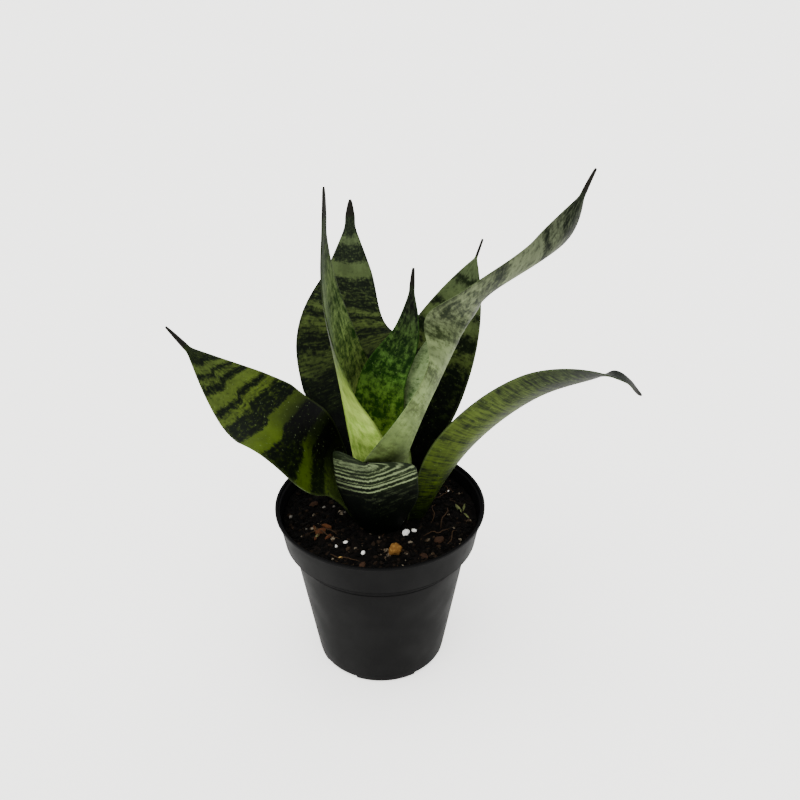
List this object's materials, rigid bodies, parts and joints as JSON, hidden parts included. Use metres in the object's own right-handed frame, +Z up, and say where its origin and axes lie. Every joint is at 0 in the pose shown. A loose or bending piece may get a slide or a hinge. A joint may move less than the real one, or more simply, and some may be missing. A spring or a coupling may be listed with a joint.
{
  "type": "potted snake plant",
  "caption": "Short bird's-nest snake plant with broad banded leaves in a round black nursery pot filled with potting mix, to stand on a shelf or table.",
  "frame": {"origin": "middle of the pot's underside, on the surface that it stands on", "axes": "+Z up; +Y towards the back of the plant, away from someone who looks at it from the front; +X to that person's right"},
  "size_m": [0.2302, 0.1149, 0.2712],
  "materials": {
    "pot_plastic": "matte, finely textured",
    "potting_mix": "rough, crumbly, with perlite and bark",
    "rhizome": "dull",
    "leaf_dark": "satin, dark green with olive cross bands",
    "leaf_pale": "satin, pale green with mottled cross bands"
  },
  "bodies": {
    "root": {"pot": "pot_plastic", "soil": "potting_mix", "crown": "rhizome", "leaf_left": "leaf_dark", "leaf_back": "leaf_dark", "leaf_front_left": "leaf_pale", "leaf_centre": "leaf_dark", "leaf_long_right": "leaf_pale", "leaf_back_right": "leaf_dark", "leaf_arching_right": "leaf_pale", "leaf_front": "leaf_dark"}
  },
  "joints": []
}
